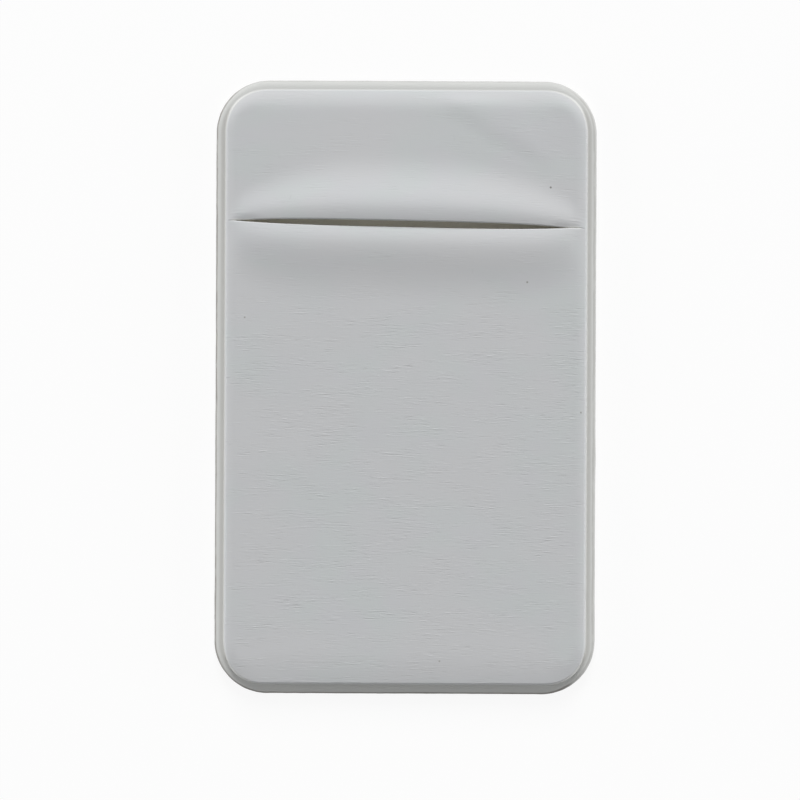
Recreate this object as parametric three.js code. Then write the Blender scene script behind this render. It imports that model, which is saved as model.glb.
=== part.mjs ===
// A stick-on phone card holder, in millimetres. It lies on its back: +Z is out of its front,
// +Y runs towards the flap, and the origin is at the middle of its underside.
//
// From the back: a paper liner, a sheet of adhesive, a stiff back panel, and two panels of padded
// stretch cloth side by side. Heat presses the two front panels onto the back panel all round in a
// thin sloping rim. Inside the rim they stand up in a wall and leave a flat space for a card. They
// meet at a mouth across the holder, where each swells into a lip and ends in a round fold.

import * as THREE from "three";

// The card, and the room that it has
const cardWidth = 53.98;
const cardLength = 85.6;
const cardThickness = 0.76;
const cardSideRoom = 0.11;
const cardEndRoom = 4.7;

// The seam round the card space: a pressed rim, then the foot of the raised wall
const rimWidth = 1.35;
const rimEdgeThickness = 0.15;
const rimThickness = 0.6;
const wallRun = 0.45;
const wallFoot = 0.85;
const spaceEdgeRun = 0.2;
const cornerRadius = 8.2;

// Layers
const linerThickness = 0.1;
const adhesiveThickness = 0.25;
const backThickness = 0.8;
const clothThickness = 0.7;
const adhesiveInset = 2;
const linerOverhang = 0.5;

// Mouth
const flapOverCard = 15.25;
const mouthTilt = THREE.MathUtils.degToRad(-1.05);
const mouthOpening = 0.93;
const mouthEndInset = 1.1;
const mouthClosingRun = 1;
const foldRun = 0.25;

// The face of each panel stands clear of a card by cardClearance. The crown is where it falls off
// towards the walls, and the lip is the swelling beside the mouth. Lengths along the lip are
// measured from the mouth, lipSpread is the power that says how far out towards the sides it keeps
// its height, and lipAtSides is the share of its length there.
const sideCrownDrop = 0.3;
const sideCrownRun = 1.6;
const lipEndRun = 3.5;
const pocket = {
  name: "pocket_panel",
  turned: true,
  cardClearance: 0.44,
  endCrownDrop: 0.3,
  endCrownRun: 5,
  lipRise: 0.9,
  lipEdgeDrop: 0.45,
  lipCrest: 2.4,
  lipReach: 12.5,
  lipSpread: 6,
  lipAtSides: 0.75,
};
const flap = {
  name: "flap_panel",
  turned: false,
  cardClearance: 0.04,
  endCrownDrop: 0.65,
  endCrownRun: 3,
  lipRise: 1.6,
  lipEdgeDrop: 0.2,
  lipCrest: 1.7,
  lipReach: 11,
  lipSpread: 2.6,
  lipAtSides: 0.3,
};

// Facets: columns between the corners, rows over the lip and past it, and steps round the fold
const columnCount = 14;
const lipRowCount = 10;
const plainRowCount = 4;
const foldStepCount = 6;

const spaceFull = rimWidth + wallFoot + spaceEdgeRun;
const width = cardWidth + 2 * (cardSideRoom + spaceFull);
const height = cardLength + cardEndRoom + 2 * spaceFull;
const mouthFromTop = spaceFull + cardEndRoom + flapOverCard;
const halfMouth = width / 2 - spaceFull - mouthEndInset;
const halfInside = width / 2 - rimWidth;
const backSeat = linerThickness + adhesiveThickness;
const frontSeat = backSeat + backThickness;

const { clamp, lerp, smoothstep } = THREE.MathUtils;
const easeOut = (t) => 1 - (1 - clamp(t, 0, 1)) ** 2;

// From 1 down to 0, steepest a third of the way along and with a long tail.
function fallAway(t) {
  const u = clamp(t, 0, 1);
  return 1 - u * u * (6 - 8 * u + 3 * u * u);
}

// Depths are distances inwards from the outline. The grid has a line on each edge of the rim, the
// wall and the card space, and the last depth is the corner's own centre.
const depths = [
  0,
  rimWidth * 0.12,
  rimWidth * 0.35,
  rimWidth * 0.65,
  rimWidth,
  rimWidth + wallRun,
  rimWidth + wallFoot,
  spaceFull,
  ...[0.12, 0.3, 0.55, 1].map((share) => lerp(spaceFull, cornerRadius, share)),
];
const rings = depths.length - 1;

// The middle of the mouth.
function mouthLine(x) {
  return height / 2 - mouthFromTop + Math.tan(mouthTilt) * x;
}

// How far the two folds are formed at a depth: not at all over the rim, where the panels' flat
// ends touch, and fully a little way inside the card space.
function mouthOpened(depth) {
  return smoothstep(depth, rimWidth, spaceFull + mouthClosingRun);
}

// Half the gap between the two folds, which is widest in the middle of the mouth.
function halfGap(x, depth) {
  const across = clamp(Math.abs(x) / halfMouth, 0, 1);
  return (mouthOpening / 2) * (1 - across ** 4) * mouthOpened(depth);
}

// Height of the rim, the wall and the crown over the back panel, at a depth from the outline.
// Facing is 0 along the sides and 1 along the end, where the crown has a size of its own.
function wallHeight(panel, depth, facing) {
  if (depth <= rimWidth)
    return lerp(rimEdgeThickness, rimThickness, easeOut(depth / rimWidth));
  const faceHeight = cardThickness + panel.cardClearance + clothThickness;
  const drop = lerp(sideCrownDrop, panel.endCrownDrop, facing ** 2);
  const run = lerp(sideCrownRun, panel.endCrownRun, facing ** 2);
  const wall = smoothstep(depth, rimWidth, rimWidth + wallRun);
  const crown = drop * easeOut((depth - rimWidth - wallRun) / run);
  return lerp(rimThickness, faceHeight - drop, wall) + crown;
}

// Height that the lip adds: it climbs from the fold to a crest and falls away into the face.
// Towards the sides it is lower and shorter, and it stops short of the rim.
function lipHeight(panel, x, fromMouth, depth) {
  const across = clamp(Math.abs(x) / halfInside, 0, 1);
  const share = 1 - across ** panel.lipSpread;
  const stretch = lerp(panel.lipAtSides, 1, share);
  const crest = panel.lipCrest * stretch;
  const reach = panel.lipReach * stretch;
  const fall = fallAway((fromMouth - crest) / (reach - crest));
  const climb = (1 - clamp(fromMouth / crest, 0, 1)) ** 2;
  const insideRim = smoothstep(depth, rimWidth, rimWidth + lipEndRun);
  return (panel.lipRise * fall - panel.lipEdgeDrop * climb) * share * insideRim;
}

// Top and underside of a panel over its seat. The underside lies flat on the back panel out to
// the card space, and inside it the cloth keeps its own thickness.
function sectionAt(panel, x, fromMouth, depth, facing) {
  const lip = lipHeight(panel, x, fromMouth, depth);
  const top = wallHeight(panel, depth, facing) + lip;
  const lifted = smoothstep(depth, rimWidth + wallFoot, spaceFull);
  return { top, bottom: (top - clothThickness) * lifted };
}

// Where a depth line on the side crosses one at the end, both bend round the corner. Their
// crossing lies on the shallower one, and the crossings share out its quarter turn evenly.
function cornerPoint(sideRing, endRing) {
  const ring = Math.min(sideRing, endRing);
  const steps = 2 * (rings - ring);
  const turn = sideRing <= endRing ? rings - endRing : steps - (rings - sideRing);
  const angle = steps ? (turn / steps) * (Math.PI / 2) : 0;
  const radius = cornerRadius - depths[ring];
  return {
    x: width / 2 - cornerRadius + radius * Math.cos(angle),
    y: height / 2 - cornerRadius + radius * Math.sin(angle),
    depth: depths[ring],
    facing: Math.sin(angle),
  };
}

// One front panel. Its grid is laid out with the mouth at low Y, and a turned one is mirrored.
function frontPanel(panel) {
  const end = panel.turned ? -1 : 1;
  const columns = 2 * rings + columnCount;
  const cornerRow = lipRowCount + plainRowCount;
  const rows = cornerRow + rings;
  const cornerStart = height / 2 - cornerRadius;

  // A column's place across the panel, and its ring, counted from the nearer side.
  function column(c) {
    const ring = Math.min(c, columns - c, rings);
    const side = c * 2 < columns ? -1 : 1;
    const share = (c - rings) / columnCount;
    const between = (width / 2 - cornerRadius) * lerp(-1, 1, share);
    const x = ring < rings ? side * (width / 2 - depths[ring]) : between;
    return { ring, side, x };
  }

  // The fold's outer edge, and how far the fold reaches out past the first row.
  function foldAt(x, depth) {
    const { top, bottom } = sectionAt(panel, x, 0, depth, 0);
    const edge = end * mouthLine(x) + halfGap(x, depth);
    return { edge, bulge: Math.min(foldRun, (top - bottom) / 2) * mouthOpened(depth) };
  }

  // A grid point: rows 0 to cornerRow run from the mouth to the corners, and the rest follow the
  // depth lines of the end.
  function gridPoint(c, r) {
    const { ring, side, x } = column(c);
    if (r > cornerRow) {
      const endRing = rings + cornerRow - r;
      if (ring < rings) {
        const bent = cornerPoint(ring, endRing);
        return { ...bent, x: side * bent.x, fromMouth: Infinity };
      }
      const depth = depths[endRing];
      return { x, y: height / 2 - depth, depth, facing: 1, fromMouth: Infinity };
    }
    const depth = depths[ring];
    const { edge, bulge } = foldAt(x, depth);
    const start = edge + bulge;
    const lipShare = Math.min(1, r / lipRowCount) ** 1.3;
    const pastShare = Math.max(0, r - lipRowCount) / plainRowCount;
    const fromMouth = lerp(panel.lipReach * lipShare, cornerStart - start, pastShare);
    return { x, y: start + fromMouth, depth, facing: 0, fromMouth };
  }

  const positions = [];
  const index = [];
  const add = (x, y, z) => positions.push(x, end * y, z) / 3 - 1;

  function triangle(a, b, c) {
    if (panel.turned) index.push(a, c, b);
    else index.push(a, b, c);
  }

  function quad(a, b, c, d) {
    triangle(a, b, c);
    triangle(a, c, d);
  }

  const top = [];
  const bottom = [];
  for (let c = 0; c <= columns; c++) {
    top.push([]);
    bottom.push([]);
    for (let r = 0; r <= rows; r++) {
      const p = gridPoint(c, r);
      const section = sectionAt(panel, p.x, p.fromMouth, p.depth, p.facing);
      top[c].push(add(p.x, p.y, section.top));
      bottom[c].push(add(p.x, p.y, section.bottom));
    }
  }

  // The fold: half an ellipse from the top row round to the underside row.
  const fold = top.map((line, c) => {
    const p = gridPoint(c, 0);
    const section = sectionAt(panel, p.x, 0, p.depth, 0);
    const middle = (section.top + section.bottom) / 2;
    const half = (section.top - section.bottom) / 2;
    const { bulge } = foldAt(p.x, p.depth);
    const round = [line[0]];
    for (let s = 1; s < foldStepCount; s++) {
      const angle = (s / foldStepCount) * Math.PI;
      const y = p.y - bulge * Math.sin(angle);
      round.push(add(p.x, y, middle + half * Math.cos(angle)));
    }
    round.push(bottom[c][0]);
    return round;
  });

  for (let c = 0; c < columns; c++) {
    for (let r = 0; r < rows; r++) {
      quad(top[c][r], top[c + 1][r], top[c + 1][r + 1], top[c][r + 1]);
      quad(bottom[c][r], bottom[c][r + 1], bottom[c + 1][r + 1], bottom[c + 1][r]);
    }
    for (let s = 0; s < foldStepCount; s++)
      quad(fold[c][s], fold[c][s + 1], fold[c + 1][s + 1], fold[c + 1][s]);
    quad(top[c][rows], top[c + 1][rows], bottom[c + 1][rows], bottom[c][rows]);
  }
  for (let r = 0; r < rows; r++) {
    quad(top[0][r], top[0][r + 1], bottom[0][r + 1], bottom[0][r]);
    quad(bottom[columns][r], bottom[columns][r + 1], top[columns][r + 1], top[columns][r]);
  }
  for (let s = 1; s < foldStepCount; s++) {
    triangle(fold[0][0], fold[0][s + 1], fold[0][s]);
    triangle(fold[columns][0], fold[columns][s], fold[columns][s + 1]);
  }

  const geometry = new THREE.BufferGeometry();
  geometry.setAttribute("position", new THREE.Float32BufferAttribute(positions, 3));
  geometry.setIndex(index);
  geometry.computeVertexNormals();
  return geometry;
}

// A flat sheet with the holder's outline, drawn in by an inset. An arc has two segments for each
// one asked for, so its corners match the front panels' own.
function flatSheet(inset, thickness) {
  const radius = cornerRadius - inset;
  const outline = new THREE.Shape();
  for (let corner = 0; corner < 4; corner++) {
    const start = corner * (Math.PI / 2);
    const x = corner === 0 || corner === 3 ? 1 : -1;
    const y = corner < 2 ? 1 : -1;
    const centreX = x * (width / 2 - cornerRadius);
    const centreY = y * (height / 2 - cornerRadius);
    outline.absarc(centreX, centreY, radius, start, start + Math.PI / 2, false);
  }
  outline.closePath();
  return new THREE.ExtrudeGeometry(outline, {
    depth: thickness,
    bevelEnabled: false,
    curveSegments: rings,
  });
}

function piece(name, geometry, material, z) {
  const mesh = new THREE.Mesh(geometry, material);
  mesh.name = name;
  mesh.position.z = z;
  return mesh;
}

const finish = (color, roughness) =>
  new THREE.MeshStandardMaterial({ color, roughness, metalness: 0 });
const stretchCloth = finish(0xbcbebf, 0.85);
const backing = finish(0xe2ddce, 0.85);
const adhesive = finish(0xd9d9d2, 0.5);
const linerPaper = finish(0xefece2, 0.35);

const liner = flatSheet(adhesiveInset - linerOverhang, linerThickness);
const adhesiveSheet = flatSheet(adhesiveInset, adhesiveThickness);
const backPanel = flatSheet(0, backThickness);

const holder = new THREE.Group();
holder.add(
  piece("release_liner", liner, linerPaper, 0),
  piece("adhesive_sheet", adhesiveSheet, adhesive, linerThickness),
  piece("back_panel", backPanel, backing, backSeat),
  piece(pocket.name, frontPanel(pocket), stretchCloth, frontSeat),
  piece(flap.name, frontPanel(flap), stretchCloth, frontSeat),
);

export default holder;
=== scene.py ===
"""The looks of a stick-on phone card holder.

Blender units are metres. Lengths named below are in millimetres and become metres where a mesh, a
texture or a place in the scene is made.
"""

import math

import bmesh
import bpy
import numpy as np
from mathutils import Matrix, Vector, noise


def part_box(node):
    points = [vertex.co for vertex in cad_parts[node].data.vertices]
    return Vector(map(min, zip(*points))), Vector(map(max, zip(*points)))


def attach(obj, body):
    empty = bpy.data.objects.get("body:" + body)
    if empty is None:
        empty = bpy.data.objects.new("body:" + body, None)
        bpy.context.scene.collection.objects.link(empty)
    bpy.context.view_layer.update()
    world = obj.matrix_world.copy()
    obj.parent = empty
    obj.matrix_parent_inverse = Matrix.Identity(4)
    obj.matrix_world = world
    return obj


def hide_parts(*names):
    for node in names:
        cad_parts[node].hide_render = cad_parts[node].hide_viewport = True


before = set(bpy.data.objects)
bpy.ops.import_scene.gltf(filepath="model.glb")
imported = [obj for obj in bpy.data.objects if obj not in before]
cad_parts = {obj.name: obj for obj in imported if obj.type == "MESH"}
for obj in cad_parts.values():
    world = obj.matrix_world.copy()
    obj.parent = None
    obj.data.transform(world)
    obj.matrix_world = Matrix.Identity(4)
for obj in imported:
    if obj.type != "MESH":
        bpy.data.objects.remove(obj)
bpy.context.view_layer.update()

MM = 0.001


# Sizes of the front panels, the same as the solids'
def top_of(node):
    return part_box(node)[1] / MM


WIDTH = 2 * top_of("back_panel").x
HEIGHT = 2 * top_of("back_panel").y
SEAT = top_of("back_panel").z
CORNER_RADIUS = 8.2
RIM_WIDTH = 1.35
RIM_EDGE_THICKNESS = 0.15
RIM_THICKNESS = 0.6
WALL_RUN = 0.45
WALL_FOOT = 0.85
SPACE_FULL = 2.4
CARD = 0.76
CLOTH = 0.7
CORNER_PINCH = 0.22
SIDE_CROWN_DROP = 0.3
SIDE_CROWN_RUN = 1.6
LIP_END_RUN = 3.5

MOUTH_FROM_TOP = 22.35
MOUTH_TILT = math.radians(-1.05)
MOUTH_OPENING = 0.93
MOUTH_SHIFT = -0.7
MOUTH_CLOSES = 1.0
FOLD_RUN = 0.25
MOUTH_END_INSET = 1.1
HALF_MOUTH = WIDTH / 2 - SPACE_FULL - MOUTH_END_INSET
HALF_INSIDE = WIDTH / 2 - RIM_WIDTH

POCKET = dict(
    name="pocket_cloth", node="pocket_panel", end=-1,
    clearance=0.44, end_drop=0.3, end_run=5.0, rise=0.9, edge_drop=0.45,
    crest=2.4, reach=12.5, spread=6.0, at_sides=0.75, rows_past_lip=60,
)
FLAP = dict(
    name="flap_cloth", node="flap_panel", end=1,
    clearance=0.04, end_drop=0.65, end_run=3.0, rise=1.6, edge_drop=0.2,
    crest=1.7, reach=11.0, spread=2.6, at_sides=0.3, rows_past_lip=8,
)

# The soft crease that runs down to the right across the flap, and how high its upper side stands
CREASE_X = [6, 9, 13, 17, 24]
CREASE_Y = [43.6, 42.0, 39.2, 37.4, 33.6]
CREASE_HEIGHT = 0.15
CREASE_HALF_STEP = 1.9
CREASE_FADE = 9

# Slack of the faces, and the pleats and the dip where the mouth closes
SLACK = 0.03
FINE_SLACK = 0.012
PLEAT_HEIGHT = 0.03
PLEAT_PITCH = 0.5
PLEATS_FROM_MOUTH = 0.9
PLEATS_REACH = 0.6
PLEATS_PAST_END = 0.3
DIP_DEPTH = 0.15
DIP_REACH = 0.9
DIP_START = 21.5
DIP_FULL = 25

# How far the cut edge strays, and a nick in its left side and a bulge of its right one
STRAY = 0.035
FINE_STRAY = 0.03
STRAY_REACH = 0.5
NICK_Y = 8.0
NICK_REACH = 1.0
NICK_DEPTH = 0.12
BULGE_Y = -10.9
BULGE_REACH = 2.2
BULGE_HEIGHT = 0.09

# Facets of the fine meshes
BETWEEN_CORNERS = 84
ROWS_OVER_LIP = 56
FOLD_STEPS = 14
LIP_ROW_SPREAD = 1.2
SHARP_FROM = math.radians(50)
MERGE_WITHIN = 0.0005
DISSOLVE_WITHIN = 0.0001
PAST_ALL_LIPS = 1e6

# Shares of the way round the fold at which the lining starts to show and shows fully
LINING_STARTS = 0.45
LINING_FULL = 0.6

# Depths of the grid's lines from the outline, closest together over the rim's edge and the wall
FACE_DEPTH = 4.2
DEPTHS = np.concatenate([
    RIM_WIDTH * np.array([0, 0.03, 0.07, 0.12, 0.2, 0.3, 0.42, 0.55, 0.68, 0.8, 0.9]),
    RIM_WIDTH + WALL_RUN * np.array([0, 0.2, 0.4, 0.6, 0.8, 1.0]),
    np.linspace(RIM_WIDTH + WALL_RUN, SPACE_FULL, 5)[1:],
    np.linspace(SPACE_FULL, FACE_DEPTH, 7)[1:],
    np.linspace(FACE_DEPTH, CORNER_RADIUS, 7)[1:],
])
RINGS = len(DEPTHS) - 1


def smooth(x, low, high):
    """A soft step from 0 at low to 1 at high."""
    t = np.clip((x - low) / (high - low), 0, 1)
    return t * t * (3 - 2 * t)


def ease_out(t):
    """From 0 to 1, steepest at the start."""
    return 1 - (1 - np.clip(t, 0, 1)) ** 2


def fall_away(t):
    """From 1 down to 0, steepest a third of the way along."""
    u = np.clip(t, 0, 1)
    return 1 - u * u * (6 - 8 * u + 3 * u * u)


def mouth_line(x):
    """The middle of the mouth in Y."""
    return HEIGHT / 2 - MOUTH_FROM_TOP + math.tan(MOUTH_TILT) * x


def half_gap(x):
    """Half the gap between the two folds, which close towards the ends of the mouth."""
    across = np.clip(abs(x - MOUTH_SHIFT) / HALF_MOUTH, 0, 1)
    return MOUTH_OPENING / 2 * (1 - across**4)


def wall_height(panel, depth, facing):
    """Height of the rim, the wall and the crown over the back panel."""
    at_corner = 4 * facing**2 * (1 - facing**2)
    depth = depth * (1 + CORNER_PINCH * at_corner)
    rim = RIM_EDGE_THICKNESS + (RIM_THICKNESS - RIM_EDGE_THICKNESS) * ease_out(depth / RIM_WIDTH)
    face = CARD + panel["clearance"] + CLOTH
    drop = SIDE_CROWN_DROP + (panel["end_drop"] - SIDE_CROWN_DROP) * facing**2
    run = SIDE_CROWN_RUN + (panel["end_run"] - SIDE_CROWN_RUN) * facing**2
    wall = smooth(depth, RIM_WIDTH, RIM_WIDTH + WALL_RUN)
    crown = drop * ease_out((depth - RIM_WIDTH - WALL_RUN) / run)
    raised = RIM_THICKNESS + (face - drop - RIM_THICKNESS) * wall + crown
    return np.where(depth <= RIM_WIDTH, rim, raised)


def lip_height(panel, x, from_mouth, depth):
    """How far the lip lifts the cloth over its face."""
    across = np.clip(abs(x) / HALF_INSIDE, 0, 1)
    share = 1 - across ** panel["spread"]
    stretch = panel["at_sides"] + (1 - panel["at_sides"]) * share
    crest = panel["crest"] * stretch
    reach = panel["reach"] * stretch
    fall = fall_away((from_mouth - crest) / (reach - crest))
    climb = (1 - np.clip(from_mouth / crest, 0, 1)) ** 2
    inside = smooth(depth, RIM_WIDTH, RIM_WIDTH + LIP_END_RUN)
    return (panel["rise"] * fall - panel["edge_drop"] * climb) * share * inside


def uneven(x, y, pitch, seed):
    """Smooth noise from -1 to 1 whose bumps are about a pitch apart."""
    return noise.noise(Vector((x / pitch, y / pitch, seed)))


def bell(t):
    """1 at 0, falling away on both sides."""
    return math.exp(-t * t)


def slackness(panel, x, y, from_mouth, depth):
    """What makes the cloth uneven: slack, a crease in the flap and pleats at the mouth's ends."""
    inside = smooth(depth, RIM_WIDTH + WALL_RUN, RIM_WIDTH + WALL_RUN + 2)
    slack = SLACK * uneven(x, y, 9, 1.3) + FINE_SLACK * uneven(x, y, 3.5, 4.1)
    if panel is POCKET:
        return float(inside * slack)
    from_left = smooth(x, CREASE_X[0] - 3, CREASE_X[1])
    to_right = smooth(-x, -CREASE_X[-1] - 1, -CREASE_X[-2])
    above = y - np.interp(x, CREASE_X, CREASE_Y)
    step = smooth(above, -CREASE_HALF_STEP, CREASE_HALF_STEP)
    fade = 1 - smooth(above, CREASE_HALF_STEP, CREASE_FADE)
    crease = CREASE_HEIGHT * from_left * to_right * step * fade
    end_of_mouth = bell(abs(x) - HALF_MOUTH - PLEATS_PAST_END)
    end_of_mouth *= bell((from_mouth - PLEATS_FROM_MOUTH) / PLEATS_REACH)
    wave = math.sin(2 * math.pi * from_mouth / PLEAT_PITCH + 0.6 * x)
    pleats = PLEAT_HEIGHT * end_of_mouth * wave
    near_mouth = (1 - np.clip(from_mouth / DIP_REACH, 0, 1)) ** 2
    dip = DIP_DEPTH * near_mouth * smooth(abs(x), DIP_START, DIP_FULL)
    return float(inside * (slack + crease - dip)) + pleats


def section_at(panel, x, from_mouth, depth, facing):
    """Heights of the cloth's top and underside over the back panel."""
    top = wall_height(panel, depth, facing) + lip_height(panel, x, from_mouth, depth)
    lifted = smooth(depth, RIM_WIDTH + WALL_FOOT, SPACE_FULL)
    return float(top), float((top - CLOTH) * lifted)


def corner_point(side_ring, end_ring):
    """Where a depth line on the side crosses one at the end, round the corner."""
    ring = min(side_ring, end_ring)
    steps = 2 * (RINGS - ring)
    turn = RINGS - end_ring if side_ring <= end_ring else steps - (RINGS - side_ring)
    angle = turn / steps * math.pi / 2 if steps else 0
    radius = CORNER_RADIUS - DEPTHS[ring]
    x = WIDTH / 2 - CORNER_RADIUS + radius * math.cos(angle)
    y = HEIGHT / 2 - CORNER_RADIUS + radius * math.sin(angle)
    return x, y, DEPTHS[ring], math.sin(angle)


def outward(x, y):
    """Which way the outline faces nearest to a point. Only points near the outline need it."""
    dx = max(abs(x) - (WIDTH / 2 - CORNER_RADIUS), 0)
    dy = max(y - (HEIGHT / 2 - CORNER_RADIUS), 0)
    length = math.hypot(dx, dy) or 1
    return math.copysign(dx / length, x), dy / length


def cut_edge(x, y):
    """How far the knife's cut strays outwards at a place on the outline."""
    stray = STRAY * uneven(x, y, 6, 7.7) + FINE_STRAY * uneven(x, y, 1.1, 2.9)
    if x < 0:
        ragged = 0.6 + 0.4 * math.sin(y * 9)
        return stray - NICK_DEPTH * bell((y - NICK_Y) / NICK_REACH) * ragged
    return stray + BULGE_HEIGHT * bell((y - BULGE_Y) / BULGE_REACH)


def merge_close(mesh):
    """Joins the corner lines' shared points."""
    bm = bmesh.new()
    bm.from_mesh(mesh)
    bmesh.ops.remove_doubles(bm, verts=bm.verts, dist=MERGE_WITHIN * MM)
    bmesh.ops.dissolve_degenerate(bm, edges=bm.edges, dist=DISSOLVE_WITHIN * MM)
    bm.to_mesh(mesh)
    bm.free()


def panel_faces(top, bottom, fold):
    """Faces over the top, the underside, the fold and the cut edge, by the points' numbers."""
    columns, rows = len(top) - 1, len(top[0]) - 1
    faces = []
    for c in range(columns):
        d = c + 1
        for r in range(rows):
            faces.append((top[c][r], top[d][r], top[d][r + 1], top[c][r + 1]))
            faces.append((bottom[c][r], bottom[c][r + 1], bottom[d][r + 1], bottom[d][r]))
        for s in range(FOLD_STEPS):
            faces.append((fold[c][s], fold[c][s + 1], fold[d][s + 1], fold[d][s]))
        faces.append((top[c][rows], top[d][rows], bottom[d][rows], bottom[c][rows]))
    for r in range(rows):
        faces.append((top[0][r], top[0][r + 1], bottom[0][r + 1], bottom[0][r]))
        last_top, last_bottom = top[columns], bottom[columns]
        faces.append((last_bottom[r], last_bottom[r + 1], last_top[r + 1], last_top[r]))
    faces.append(tuple(reversed(fold[0])))
    faces.append(tuple(fold[columns]))
    return faces


def cloth_object(name, points, faces, attributes):
    """A smooth object of these faces, with a value of each attribute at every point."""
    mesh = bpy.data.meshes.new(name)
    mesh.from_pydata(points, [], faces)
    for attribute, values in attributes.items():
        mesh.attributes.new(attribute, "FLOAT", "POINT").data.foreach_set("value", values)
    merge_close(mesh)
    mesh.shade_smooth()
    mesh.set_sharp_from_angle(angle=SHARP_FROM)
    obj = bpy.data.objects.new(name, mesh)
    bpy.context.scene.collection.objects.link(obj)
    return obj


def front_panel(panel):
    """One front panel as a closed mesh, on the same grid of lines as its solid but finer.

    Columns run away from the mouth, and rows run across. Next to the outline both follow its depth
    lines. Here Y points away from the mouth for both panels.
    """
    end = panel["end"]
    past_rows = panel["rows_past_lip"]
    columns = 2 * RINGS + BETWEEN_CORNERS
    corner_row = ROWS_OVER_LIP + past_rows
    rows = corner_row + RINGS
    corner_start = HEIGHT / 2 - CORNER_RADIUS

    def column(c):
        """Its depth line, its side and its place in X."""
        ring = min(c, columns - c, RINGS)
        side = -1 if c * 2 < columns else 1
        between = (WIDTH / 2 - CORNER_RADIUS) * (2 * (c - RINGS) / BETWEEN_CORNERS - 1)
        return ring, side, side * (WIDTH / 2 - DEPTHS[ring]) if ring < RINGS else between

    def fold_at(x, depth):
        """Where the fold's straight sides end, and how far its round bulges into the mouth."""
        top, bottom = section_at(panel, x, 0, depth, 0)
        opened = smooth(depth, RIM_WIDTH, SPACE_FULL + MOUTH_CLOSES)
        bulge = min(FOLD_RUN, (top - bottom) / 2) * opened
        return end * mouth_line(x) + half_gap(x) * opened, bulge

    def grid_point(c, r):
        """Place, depth, how far the outline there faces the end, and distance from the mouth."""
        ring, side, x = column(c)
        if r > corner_row:
            end_ring = RINGS + corner_row - r
            if ring < RINGS:
                px, py, depth, facing = corner_point(ring, end_ring)
                return side * px, py, depth, facing, PAST_ALL_LIPS
            depth = DEPTHS[end_ring]
            return x, HEIGHT / 2 - depth, depth, 1, PAST_ALL_LIPS
        depth = DEPTHS[ring]
        edge, bulge = fold_at(x, depth)
        start = edge + bulge
        lip_share = min(1, r / ROWS_OVER_LIP) ** LIP_ROW_SPREAD
        past = max(0, r - ROWS_OVER_LIP) / past_rows
        along = panel["reach"] * lip_share
        from_mouth = along + (corner_start - start - along) * past
        return x, start + from_mouth, depth, 0, from_mouth

    points, depths, inner = [], [], []

    def add(x, y, z, depth, is_inner):
        points.append((x * MM, end * y * MM, (SEAT + z) * MM))
        depths.append(float(depth))
        inner.append(float(is_inner))
        return len(points) - 1

    top, bottom, fold = [], [], []
    for c in range(columns + 1):
        top.append([])
        bottom.append([])
        for r in range(rows + 1):
            x, y, depth, facing, from_mouth = grid_point(c, r)
            upper, lower = section_at(panel, x, from_mouth, depth, facing)
            slack = slackness(panel, x, end * y, from_mouth, depth)
            cut = cut_edge(x, end * y) * (1 - smooth(depth, 0, STRAY_REACH))
            out_x, out_y = outward(x, y)
            x, y = x + cut * out_x, y + cut * out_y
            top[c].append(add(x, y, upper + slack, depth, 0))
            bottom[c].append(add(x, y, lower, depth, 1))
        x, y, depth, *_ = grid_point(c, 0)
        upper, lower = section_at(panel, x, 0, depth, 0)
        upper += slackness(panel, x, end * y, 0, depth)
        cut = cut_edge(x, end * y) * (1 - smooth(depth, 0, STRAY_REACH)) * math.copysign(1, x)
        _, bulge = fold_at(x, depth)
        line = [top[c][0]]
        for s in range(1, FOLD_STEPS):
            angle = s / FOLD_STEPS * math.pi
            z = (upper + lower) / 2 + (upper - lower) / 2 * math.cos(angle)
            is_inner = smooth(s / FOLD_STEPS, LINING_STARTS, LINING_FULL)
            line.append(add(x + cut, y - bulge * math.sin(angle), z, depth, is_inner))
        line.append(bottom[c][0])
        fold.append(line)

    faces = panel_faces(top, bottom, fold)
    if end < 0:
        faces = [tuple(reversed(f)) for f in faces]
    return cloth_object(panel["name"], points, faces, {"depth": depths, "inner": inner})


def srgb(*levels):
    """Linear colour of sRGB levels from 0 to 255."""
    out = [v / 255 / 12.92 if v <= 10 else ((v / 255 + 0.055) / 1.055) ** 2.4 for v in levels]
    return (*out, 1.0)


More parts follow.
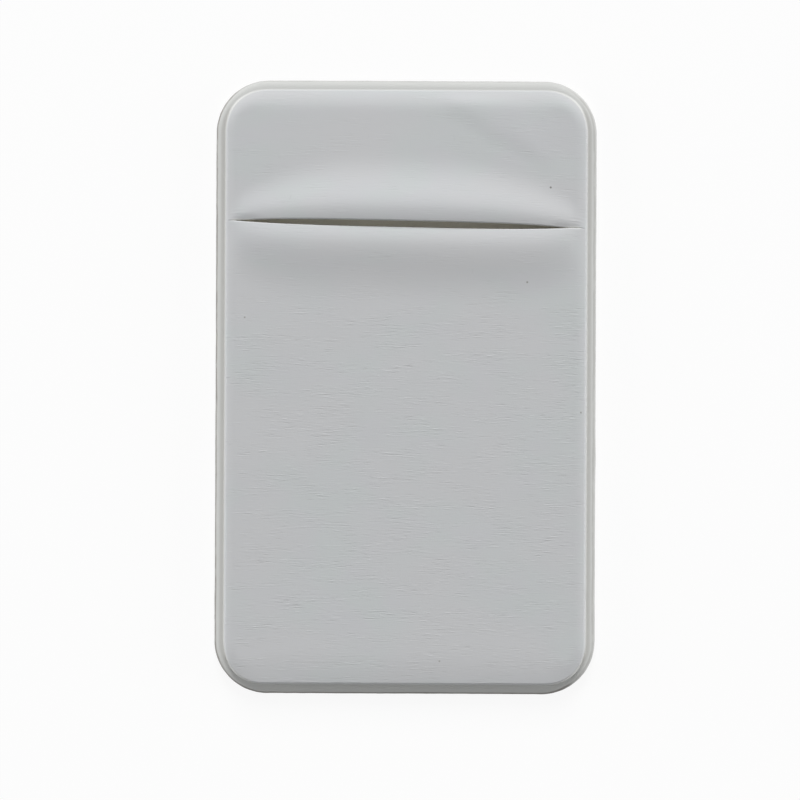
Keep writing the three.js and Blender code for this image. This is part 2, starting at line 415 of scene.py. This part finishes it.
class Shading:
    """A material's nodes, with short ways to add more of them."""

    def __init__(self, name):
        self.material = bpy.data.materials.new(name)
        self.material.use_nodes = True
        self.nodes = self.material.node_tree.nodes
        self.links = self.material.node_tree.links
        self.shader = self.nodes["Principled BSDF"]
        self.place = self.nodes.new("ShaderNodeTexCoord").outputs["Object"]

    def put(self, socket, value):
        """Links a socket's value, or writes a number or colour."""
        if isinstance(value, bpy.types.NodeSocket):
            self.links.new(value, socket)
        else:
            socket.default_value = value

    def set(self, **values):
        """Puts values on the shader's sockets, which are named with underscores for spaces."""
        for name, value in values.items():
            self.put(self.shader.inputs[name.replace("_", " ")], value)

    def math(self, operation, *values, clamp=False):
        node = self.nodes.new("ShaderNodeMath")
        node.operation = operation
        node.use_clamp = clamp
        for socket, value in zip(node.inputs, values):
            self.put(socket, value)
        return node.outputs[0]

    def attribute(self, name):
        """A value stored at the mesh's points."""
        node = self.nodes.new("ShaderNodeAttribute")
        node.attribute_name = name
        return node.outputs["Fac"]

    def split(self):
        """X, Y and Z of the point, in metres."""
        node = self.nodes.new("ShaderNodeSeparateXYZ")
        self.links.new(self.place, node.inputs[0])
        return node.outputs

    def grain(self, length, pitch, turn=0.0, detail=2.0):
        """Noise about 0 with marks of this length in X and pitch in Y, in millimetres."""
        mapping = self.nodes.new("ShaderNodeMapping")
        self.links.new(self.place, mapping.inputs["Vector"])
        mapping.inputs["Rotation"].default_value = (0, 0, math.radians(turn))
        mapping.inputs["Scale"].default_value = (1 / length / MM, 1 / pitch / MM, 1 / MM)
        node = self.nodes.new("ShaderNodeTexNoise")
        node.inputs["Scale"].default_value = 1
        node.inputs["Detail"].default_value = detail
        self.links.new(mapping.outputs[0], node.inputs["Vector"])
        return self.math("SUBTRACT", node.outputs["Fac"], 0.5)

    def ramp(self, value, low, high, to_low=0.0, to_high=1.0):
        """A soft step from one number at low to another at high."""
        node = self.nodes.new("ShaderNodeMapRange")
        node.interpolation_type = "SMOOTHSTEP"
        self.put(node.inputs["Value"], value)
        for name, number in zip(("From Min", "From Max", "To Min", "To Max"),
                                (low, high, to_low, to_high)):
            node.inputs[name].default_value = number
        return node.outputs["Result"]

    def mix(self, share, first, second, how="MIX"):
        node = self.nodes.new("ShaderNodeMix")
        node.data_type = "RGBA"
        node.blend_type = how
        self.put(node.inputs["Factor"], share)
        self.put(node.inputs[6], first)
        self.put(node.inputs[7], second)
        return node.outputs[2]

    def bump(self, height, distance):
        """Bump that stands this many millimetres high where the height is 1."""
        node = self.nodes.new("ShaderNodeBump")
        node.inputs["Strength"].default_value = 1
        node.inputs["Distance"].default_value = distance * MM
        self.links.new(height, node.inputs["Height"])
        self.links.new(node.outputs[0], self.shader.inputs["Normal"])


def grey(level):
    return (level, level, level, 1)


# Ribs slope down to the right by RIB_TURN degrees. A speck is a place, a radius and a level.
RIB_TURN = 2.4
SPECKS = [
    (22.3, 31.0, 0.22, 120),
    (18.7, 16.3, 0.22, 145),
    (-24.9, 10.7, 0.18, 150),
    (5.4, -42.3, 0.2, 158),
    (27.1, -3.8, 0.2, 150),
]
LINING = srgb(242, 238, 222)
BACK_MIDDLE = SEAT - 0.4


def rib_height(m, y, depth):
    """Broken ribs about 0, weaker on the flap and on the pressed rim, and in patches."""
    fine = m.grain(1.7, 0.17, turn=RIB_TURN)
    coarse = m.grain(3.2, 0.33, turn=RIB_TURN)
    ribs = m.math("ADD", fine, m.math("MULTIPLY", coarse, 0.6))
    bold = m.ramp(m.math("ABSOLUTE", ribs), 0.06, 0.26, 0.5, 1.8)
    ribs = m.math("MULTIPLY", ribs, bold)
    flat = m.ramp(y, 17 * MM, 6 * MM, 0.5, 0.97)
    pressed = m.ramp(depth, RIM_WIDTH * 0.9, RIM_WIDTH + WALL_RUN, 0.2, 1.0)
    patchy = m.ramp(m.grain(7, 1.9, turn=RIB_TURN, detail=3), -0.13, 0.17, 0.2, 1.6)
    strength = m.math("MULTIPLY", m.math("MULTIPLY", flat, pressed), patchy)
    return m.math("MULTIPLY", ribs, strength)


def groove_shade_share(m, x, depth):
    """How strongly painted shade shows in the groove at the wall's foot, which it does along the
    sides.
    """
    groove = m.math("MULTIPLY", m.ramp(depth, 0.5, 1.0), m.ramp(depth, RIM_WIDTH + 0.1, RIM_WIDTH))
    at_sides = m.ramp(m.math("ABSOLUTE", x), 26.8 * MM, 28 * MM)
    return m.math("MULTIPLY", groove, at_sides)


def edge_line_shade_share(m, x, y, depth):
    """How strongly the painted shade of the dark line just inside the cut edge shows, faint at the
    top and strongest at the bottom.
    """
    wander = m.math("MULTIPLY", m.grain(5, 5), 0.3)
    line_depth = m.math("ADD", m.ramp(x, 20 * MM, 29 * MM, 0.06, 0.34), wander)
    away = m.math("ABSOLUTE", m.math("SUBTRACT", depth, line_depth))
    by_side = m.ramp(x, 0, 25 * MM, 0.95, 0.4)
    by_end = m.math("MULTIPLY", by_side, m.ramp(y, 44.5 * MM, 47 * MM, 1.0, 0.22))
    at_bottom = m.ramp(y, -45.5 * MM, -46.5 * MM, 0.0, 0.9)
    patches = m.ramp(m.grain(2, 2), -0.3, 0.1, 0.5, 1.0)
    strength = m.math("MULTIPLY", m.math("ADD", by_end, at_bottom), patches, clamp=True)
    return m.math("MULTIPLY", m.ramp(away, 0.24, 0.08), strength)


def speck_share(m, x, y, speck_x, speck_y, radius):
    """1 on a round speck and 0 away from it."""
    across = m.math("POWER", m.math("SUBTRACT", x, speck_x * MM), 2.0)
    along = m.math("POWER", m.math("SUBTRACT", y, speck_y * MM), 2.0)
    away = m.math("SQRT", m.math("ADD", across, along))
    return m.ramp(away, radius * MM, radius * 0.4 * MM)


def cloth_material():
    """Light grey stretch cloth with fine broken ribs that run across it."""
    m = Shading("stretch_cloth")
    x, y, _ = m.split()
    depth = m.attribute("depth")
    ribs = rib_height(m, y, depth)
    mottle = m.ramp(m.grain(7, 5, detail=1), -0.16, 0.16)
    colour = m.mix(mottle, srgb(186, 187.5, 189.5), srgb(185, 188.5, 189))
    blotch = m.ramp(m.grain(16, 12, detail=1), -0.15, 0.15)
    colour = m.mix(blotch, colour, srgb(187, 188, 189.5))
    smudge = m.ramp(m.grain(1.1, 1.5), 0.22, 0.34, 0.0, 0.5)
    colour = m.mix(smudge, colour, srgb(176, 178, 179))
    rim = m.ramp(depth, RIM_WIDTH + 0.3, RIM_WIDTH)
    colour = m.mix(rim, colour, srgb(190, 191, 189))
    rib_shade = m.mix(m.math("MULTIPLY_ADD", ribs, 0.5, 0.5), grey(0.9), grey(1.1))
    colour = m.mix(1.0, colour, rib_shade, "MULTIPLY")
    # Painted shade: the groove at the wall's foot darkened along the sides
    colour = m.mix(groove_shade_share(m, x, depth), colour, srgb(178, 178, 175))
    # Painted shade: a dark line just inside the cut edge, faint at the top and strongest at the
    # bottom
    colour = m.mix(edge_line_shade_share(m, x, y, depth), colour, srgb(141, 139, 135))
    for speck_x, speck_y, radius, level in SPECKS:
        speck = speck_share(m, x, y, speck_x, speck_y, radius)
        colour = m.mix(speck, colour, srgb(level, level, level - 4))
    colour = m.mix(m.attribute("inner"), colour, LINING)
    rough = m.math("MULTIPLY_ADD", ribs, 0.3, 0.82)
    m.set(Base_Color=colour, Roughness=rough, Specular_IOR_Level=0.3)
    m.set(Sheen_Weight=0.06, Sheen_Roughness=0.5)
    m.bump(ribs, 0.03)
    return m.material


def backing_material():
    """Pale warm backing cloth, with its layers showing where it is cut."""
    m = Shading("backing")
    x, y, z = m.split()
    weave = m.math("MULTIPLY", m.grain(0.5, 0.18), m.grain(0.18, 0.5))
    colour = m.mix(m.ramp(weave, -0.02, 0.02), srgb(240, 236, 222), srgb(247, 244, 232))
    from_middle = m.math("ABSOLUTE", m.math("SUBTRACT", z, BACK_MIDDLE * MM))
    layer = m.ramp(from_middle, 0.12 * MM, 0.18 * MM)
    near_side = m.ramp(m.math("ABSOLUTE", x), 28.6 * MM, 29.1 * MM)
    near_end = m.ramp(m.math("ABSOLUTE", y), 46.7 * MM, 47.1 * MM)
    cut = m.math("MAXIMUM", near_side, near_end)
    colour = m.mix(cut, colour, m.mix(layer, srgb(184, 182, 177), srgb(203, 202, 197)))
    m.set(Base_Color=colour, Roughness=m.math("MULTIPLY_ADD", weave, 2.0, 0.85))
    m.bump(weave, 0.06)
    return m.material


def adhesive_material():
    """Pale satin film with a faint cloudiness."""
    m = Shading("adhesive")
    cloud = m.grain(5, 5)
    colour = m.mix(m.ramp(cloud, -0.15, 0.15), srgb(212, 212, 206), srgb(222, 222, 216))
    m.set(Base_Color=colour, Roughness=m.math("MULTIPLY_ADD", cloud, 0.3, 0.45))
    m.bump(m.grain(0.8, 0.8), 0.02)
    return m.material


def liner_material():
    """Off-white coated paper with fine fibres and a soft waviness."""
    m = Shading("liner")
    fibre = m.grain(0.9, 0.25, turn=20)
    cross = m.grain(0.25, 0.9, turn=35)
    both = m.math("ADD", fibre, cross)
    colour = m.mix(m.ramp(both, -0.2, 0.2), srgb(233, 230, 220), srgb(241, 239, 230))
    m.set(Base_Color=colour, Roughness=m.math("MULTIPLY_ADD", both, 0.2, 0.38))
    m.bump(m.math("ADD", both, m.math("MULTIPLY", m.grain(14, 14), 4.0)), 0.02)
    return m.material


def set_material(obj, material):
    obj.data.materials.clear()
    obj.data.materials.append(material)


# The floor lies just under the liner, so that the two faces don't coincide
FLOOR_SIZE = 2.0
FLOOR_DROP = 0.05
FLOOR_WHITE = 0.9

# Name, azimuth and elevation in degrees, distance and size in metres, and power of each lamp
LAMPS = [
    ("key", 0, 29, 3.6, 1.5, 137.0),
    ("left", -90, 9.5, 2.4, 1.0, 40.0),
    ("right", 90, 9.5, 2.4, 1.0, 42.0),
]
WORLD_LIGHT = 0.247

# The photograph's size, scale and turn, and where the holder's middle is in it
IMAGE = 800
PIXEL = 0.15525
CENTRE_X = 405.55
CENTRE_Y = 387.3
ROLL = 0.25
LENS = 100
SENSOR = 36


def background_rays(nodes, links):
    """1 for a ray that shows the background, straight, mirrored or through glass, and else 0."""
    path = nodes.new("ShaderNodeLightPath")
    total = path.outputs["Is Camera Ray"]
    for name in ("Is Glossy Ray", "Is Transmission Ray"):
        node = nodes.new("ShaderNodeMath")
        node.operation = "MAXIMUM"
        links.new(total, node.inputs[0])
        links.new(path.outputs[name], node.inputs[1])
        total = node.outputs[0]
    return total


def make_floor():
    """A white floor that keeps a little shading of its own, and so the object's shadow."""
    bpy.ops.mesh.primitive_plane_add(size=FLOOR_SIZE, location=(0, 0, -FLOOR_DROP * MM))
    floor = bpy.context.object
    floor.name = "floor"
    m = Shading("floor")
    m.set(Base_Color=grey(0.8), Roughness=0.9, Specular_IOR_Level=0.0)
    white = m.nodes.new("ShaderNodeEmission")
    white.inputs["Strength"].default_value = 1.0
    mix = m.nodes.new("ShaderNodeMixShader")
    m.put(mix.inputs["Fac"], m.math("MULTIPLY", background_rays(m.nodes, m.links), FLOOR_WHITE))
    m.put(mix.inputs[1], m.shader.outputs[0])
    m.put(mix.inputs[2], white.outputs[0])
    m.put(m.nodes["Material Output"].inputs["Surface"], mix.outputs[0])
    set_material(floor, m.material)


def softbox(name, azimuth, elevation, distance, size, power):
    """A square lamp that faces the origin. Azimuth 0 is towards +Y, 90 towards +X."""
    lamp = bpy.data.lights.new(name, "AREA")
    lamp.shape = "SQUARE"
    lamp.size = size
    lamp.energy = power
    obj = bpy.data.objects.new(name, lamp)
    bpy.context.scene.collection.objects.link(obj)
    a, e = math.radians(azimuth), math.radians(elevation)
    obj.location = (
        distance * math.sin(a) * math.cos(e),
        distance * math.cos(a) * math.cos(e),
        distance * math.sin(e),
    )
    obj.rotation_euler = (math.pi / 2 - e, 0, math.pi - a)


def make_world():
    """Even light from all round, which is white where it is seen."""
    world = bpy.data.worlds.new("studio")
    bpy.context.scene.world = world
    world.use_nodes = True
    nodes, links = world.node_tree.nodes, world.node_tree.links
    background = nodes["Background"]
    background.inputs["Color"].default_value = (1, 1, 1, 1)
    level = nodes.new("ShaderNodeMapRange")
    level.inputs["To Min"].default_value = WORLD_LIGHT
    level.inputs["To Max"].default_value = 1.0
    links.new(background_rays(nodes, links), level.inputs["Value"])
    links.new(level.outputs["Result"], background.inputs["Strength"])


def make_camera():
    """The photograph's camera: straight above, a little below and left of the holder's middle."""
    camera = bpy.data.objects.new("camera", bpy.data.cameras.new("camera"))
    bpy.context.scene.collection.objects.link(camera)
    camera.data.lens = LENS
    camera.data.sensor_width = SENSOR
    over_rim = IMAGE * PIXEL * LENS / SENSOR
    camera.location = (
        (IMAGE / 2 - CENTRE_X) * PIXEL * MM,
        (CENTRE_Y - IMAGE / 2) * PIXEL * MM,
        (SEAT + RIM_EDGE_THICKNESS + over_rim) * MM,
    )
    camera.rotation_euler = (0, 0, math.radians(ROLL))
    bpy.context.scene.camera = camera


cloth = cloth_material()
for panel in (POCKET, FLAP):
    piece = front_panel(panel)
    set_material(piece, cloth)
    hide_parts(panel["node"])
    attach(piece, "root")

set_material(bpy.data.objects["back_panel"], backing_material())
set_material(bpy.data.objects["adhesive_sheet"], adhesive_material())
set_material(bpy.data.objects["release_liner"], liner_material())

make_floor()
for lamp in LAMPS:
    softbox(*lamp)
make_world()
make_camera()
bpy.context.scene.view_settings.view_transform = "Standard"
